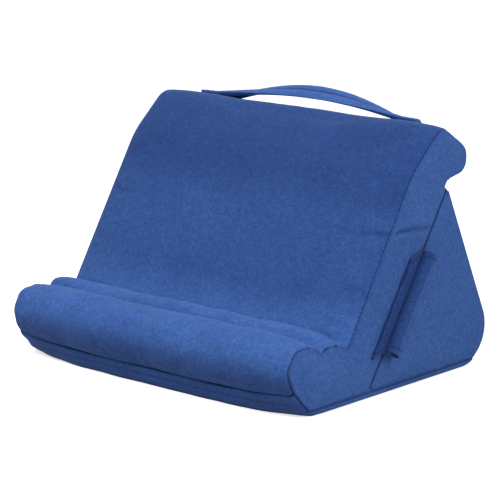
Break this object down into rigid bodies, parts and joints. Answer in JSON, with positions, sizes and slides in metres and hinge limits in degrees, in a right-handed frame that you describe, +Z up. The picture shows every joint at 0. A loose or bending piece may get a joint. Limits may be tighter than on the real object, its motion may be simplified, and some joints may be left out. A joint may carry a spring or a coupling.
{
  "type": "tablet cushion stand",
  "caption": "Sewn velvet cushion stand over foam, with a leaning back, groove, lip and front roll, a rear wedge, carry handle and side pen sleeve.",
  "frame": {"origin": "on the floor plane, under the middle of the stand's width without the pen sleeve and the middle of its depth", "axes": "+X along the width towards the side with the pen sleeve, +Y towards the back, +Z up"},
  "size_m": [0.2893, 0.2272, 0.1987],
  "materials": {
    "velvet": "short-pile velvet, matt with a soft sheen",
    "foam": "open-cell cushion foam, matt"
  },
  "bodies": {
    "root": {"front_wrap_panel": "velvet", "front_band": "velvet", "base_panel": "velvet", "rear_back_panel": "velvet", "front_foam": "foam", "rear_foam": "foam", "front_end_panel_right": "velvet", "front_end_panel_left": "velvet", "rear_end_panel_right": "velvet", "rear_end_panel_left": "velvet", "carry_handle": "velvet", "side_sleeve": "velvet", "back_pocket": "velvet", "pocket_hem": "velvet"}
  },
  "joints": []
}
